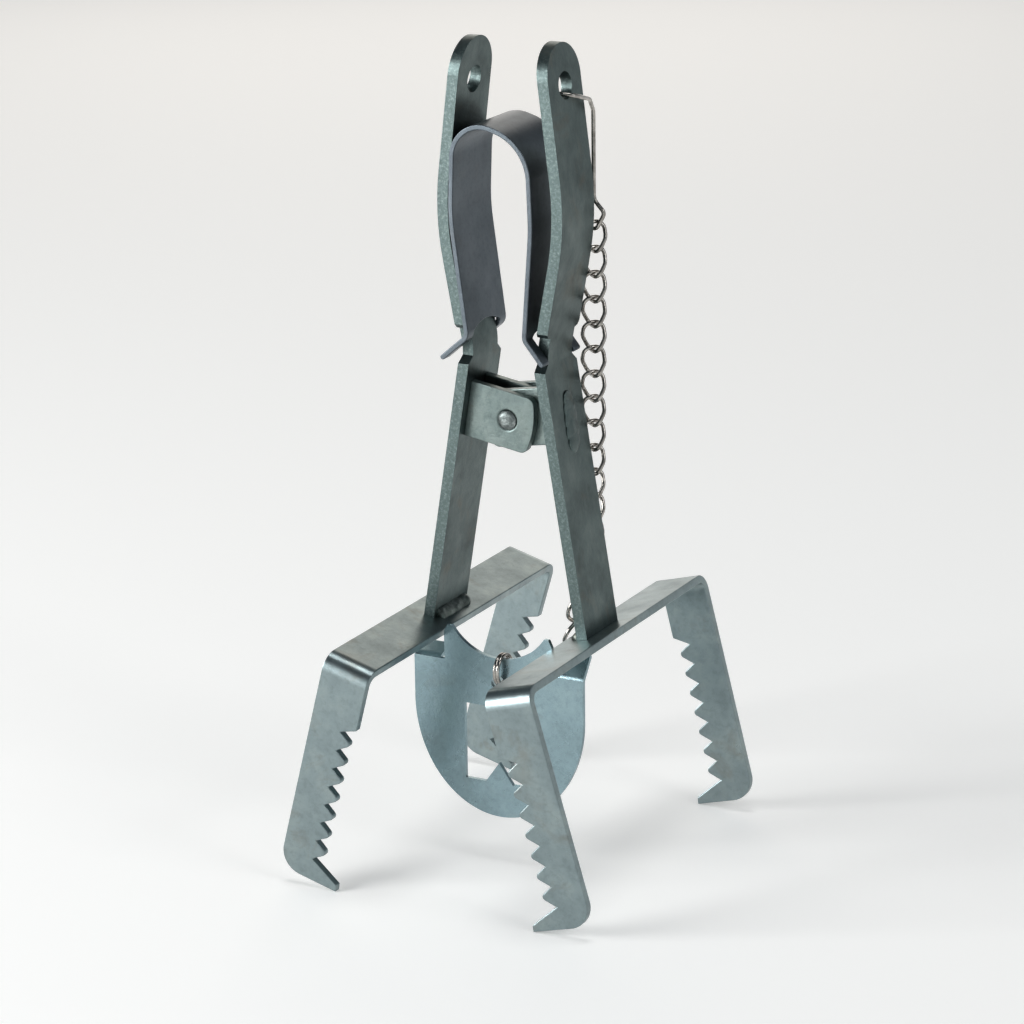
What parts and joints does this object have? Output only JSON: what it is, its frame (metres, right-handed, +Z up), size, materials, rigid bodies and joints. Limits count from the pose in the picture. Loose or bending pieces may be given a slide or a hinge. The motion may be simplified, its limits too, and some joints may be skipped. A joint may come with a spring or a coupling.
{
  "type": "mole trap",
  "caption": "Scissor mole trap in its set position: toothed jaws on hinged levers, a leaf spring between the handles, and a trigger plate on a chain.",
  "frame": {"origin": "on the ground under the hinge, midway between the jaw tips", "axes": "+X from the left jaw to the right one, +Y along the hinge rivet to the rear, +Z up"},
  "size_m": [0.1004, 0.1164, 0.2459],
  "materials": {
    "lever_steel": "zinc-plated hot-rolled bar, satin, darker grey-green faces and brighter sheared edges",
    "jaw_steel": "zinc-plated flat bar, satin",
    "zinc_steel": "zinc-plated steel strip, satin",
    "weld_metal": "lumpy weld bead under zinc plating",
    "rivet_steel": "headed rivet, zinc-plated",
    "spring_steel": "blue-grey spring strip, satin, zinc-plated",
    "plate_steel": "zinc-plated sheet, satin, bluish",
    "bright_wire": "bright nickel-plated wire"
  },
  "bodies": {
    "left_arm": {"left_lever": "lever_steel", "left_jaw": "jaw_steel", "left_lug_front": "zinc_steel", "left_lug_rear": "zinc_steel", "left_weld": "weld_metal", "hinge_rivet": "rivet_steel", "leaf_spring": "spring_steel"},
    "right_arm": {"right_lever": "lever_steel", "right_jaw": "jaw_steel", "right_lug_front": "zinc_steel", "right_lug_rear": "zinc_steel", "right_weld": "weld_metal"},
    "trigger": {"trigger_plate": "plate_steel", "plate_ring": "bright_wire", "chain_link_18": "bright_wire", "chain_link_19": "bright_wire", "chain_link_20": "bright_wire"},
    "upper_chain": {"chain_hook": "bright_wire", "chain_link_01": "bright_wire", "chain_link_02": "bright_wire", "chain_link_03": "bright_wire", "chain_link_04": "bright_wire", "chain_link_05": "bright_wire", "chain_link_06": "bright_wire", "chain_link_07": "bright_wire", "chain_link_08": "bright_wire", "chain_link_09": "bright_wire", "chain_link_10": "bright_wire", "chain_link_11": "bright_wire", "chain_link_12": "bright_wire", "chain_link_13": "bright_wire", "chain_link_14": "bright_wire", "chain_link_15": "bright_wire", "chain_link_16": "bright_wire", "chain_link_17": "bright_wire"}
  },
  "joints": [
    {"name": "jaw_hinge", "type": "hinge", "parent": "left_arm", "child": "right_arm", "pos_m": [0, 0, 0.13528], "axis": [0, 1, 0], "range_deg": [0, 26], "deforming": ["leaf_spring"]},
    {"name": "trigger_drop", "type": "hinge", "parent": "right_arm", "child": "trigger", "pos_m": [0.026, -0.014, 0.06628], "axis": [0, 1, 0], "range_deg": [-84, 0]},
    {"name": "chain_swing", "type": "hinge", "parent": "right_arm", "child": "upper_chain", "pos_m": [0.0146, 0, 0.23048], "axis": [1, 0, 0], "range_deg": [0, 10]}
  ],
  "couplings": [
    {"joint": "trigger_drop", "follows": "jaw_hinge", "ratio": -3.1}
  ]
}
